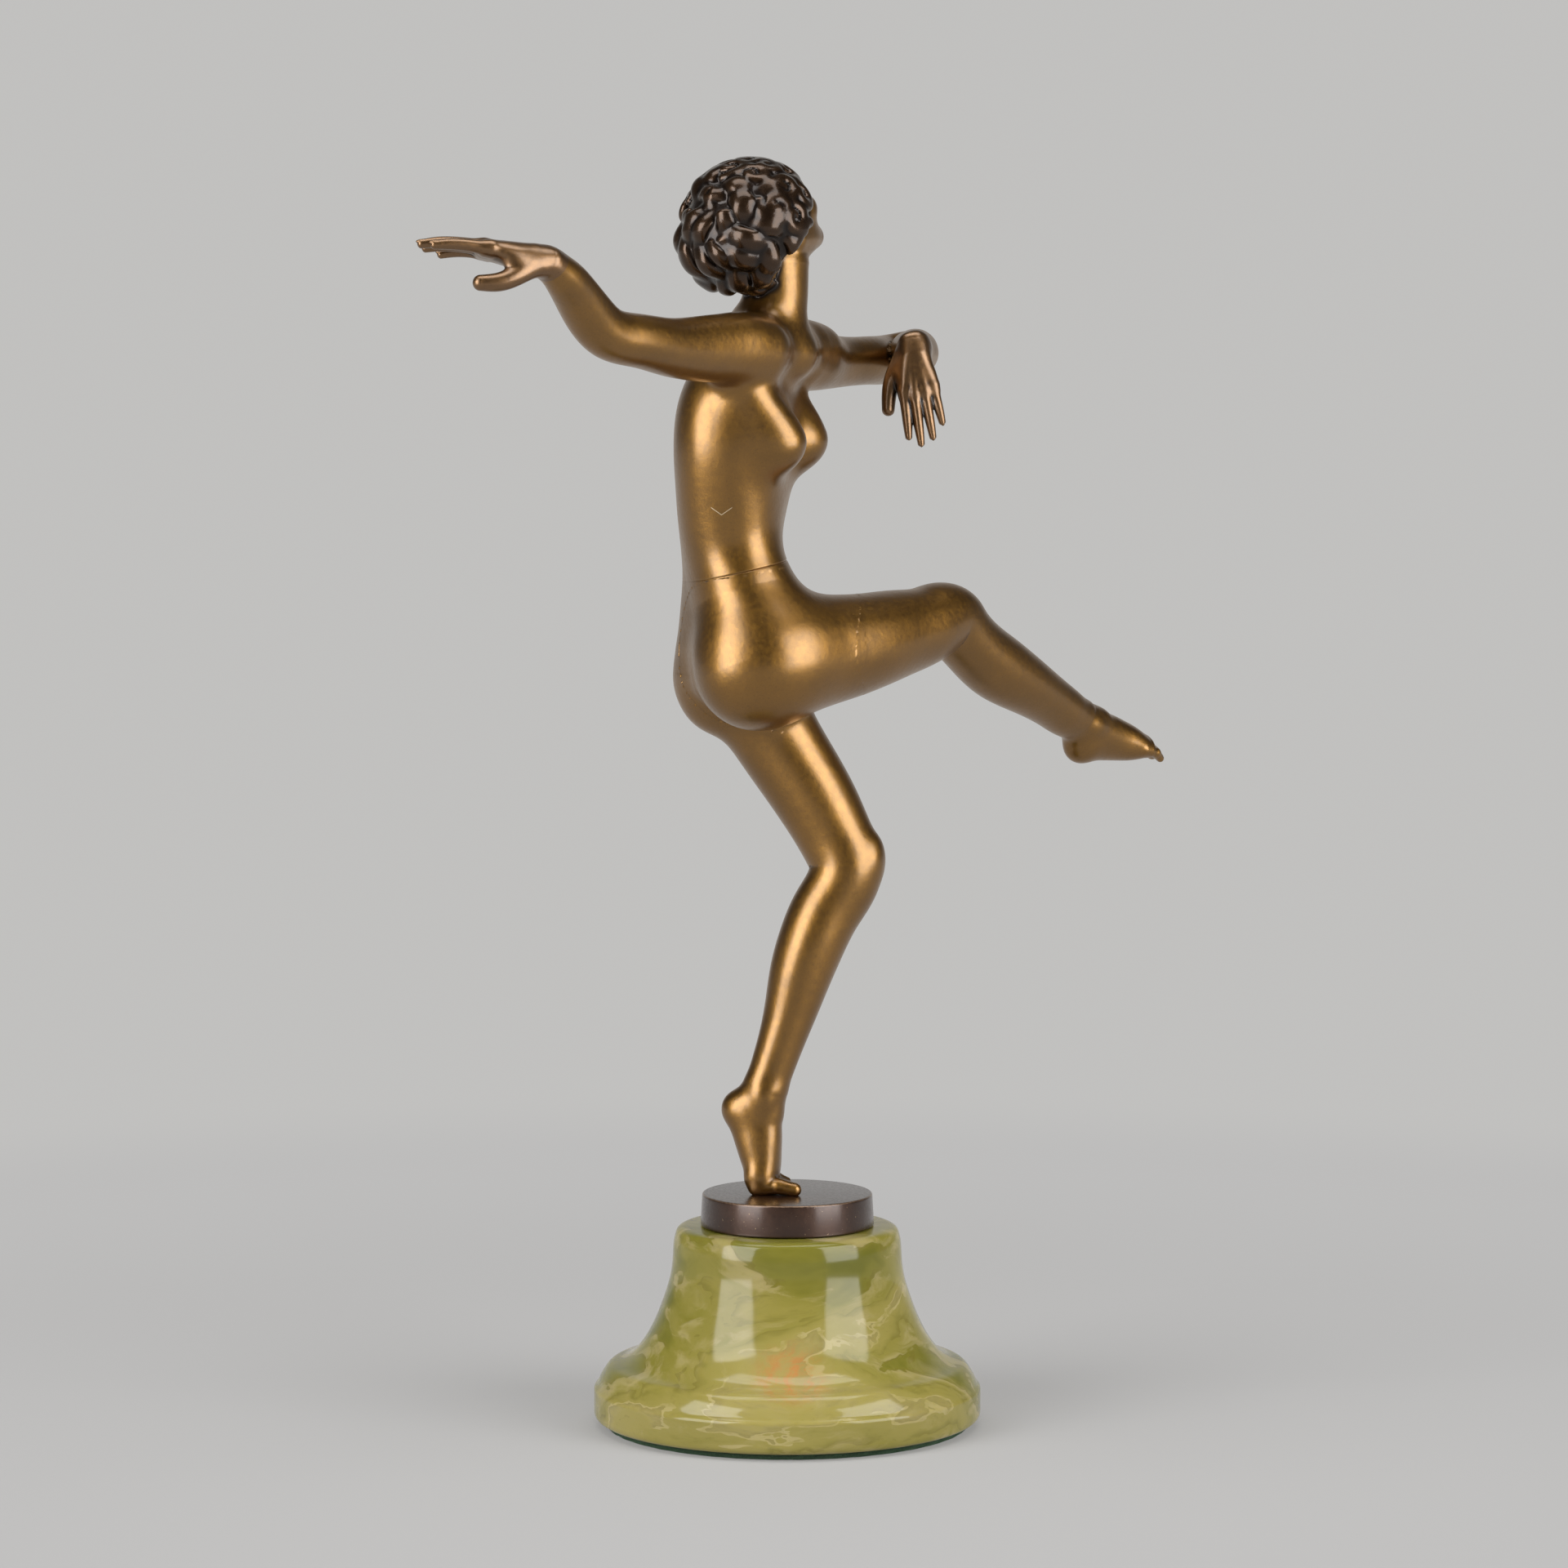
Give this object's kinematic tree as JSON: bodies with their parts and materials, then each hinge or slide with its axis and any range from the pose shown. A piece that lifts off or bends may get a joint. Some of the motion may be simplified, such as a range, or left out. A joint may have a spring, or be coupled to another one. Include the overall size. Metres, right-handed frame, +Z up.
{
  "type": "bronze dancer statuette",
  "caption": "Art Deco style bronze dancer on one foot with raised leg and spread arms, on a round metal plinth and a turned green onyx pedestal with felt base.",
  "frame": {"origin": "centre of the underside of the felt pad, on the pedestal's turning axis", "axes": "+Z up along the pedestal's axis, +X the way the raised leg and the chest point, +Y towards the figure's left side"},
  "size_m": [0.1798, 0.1687, 0.3063],
  "materials": {
    "bronze": "satin cold-painted gold-brown patina",
    "bright_bronze": "satin patina, rubbed brighter, dark in the creases",
    "dark_bronze": "dark brown semi-gloss patina on the hair, gold-brown on the face",
    "brown_bronze": "satin chocolate-brown patina",
    "onyx": "polished, green with cream veins",
    "felt": "dark green felt",
    "brass": "turned",
    "steel": "zinc plated"
  },
  "bodies": {
    "root": {"torso_casting": "bronze", "standing_leg_casting": "bronze", "raised_leg_casting": "bronze", "right_arm_casting": "bronze", "left_arm_casting": "bronze", "right_hand_casting": "bright_bronze", "left_hand_casting": "bright_bronze", "head_casting": "dark_bronze", "bronze_plinth": "brown_bronze", "onyx_pedestal": "onyx", "felt_pad": "felt", "waist_sleeve": "brass", "neck_dowel": "steel", "right_shoulder_dowel": "steel", "left_shoulder_dowel": "steel", "raised_hip_dowel": "steel", "right_wrist_dowel": "steel", "left_wrist_dowel": "steel", "tie_rod": "steel", "flat_washer": "steel", "spring_washer": "steel", "hex_nut": "steel", "foot_screw": "steel", "foot_locating_pin": "steel", "plinth_locating_pin": "steel"}
  },
  "joints": []
}
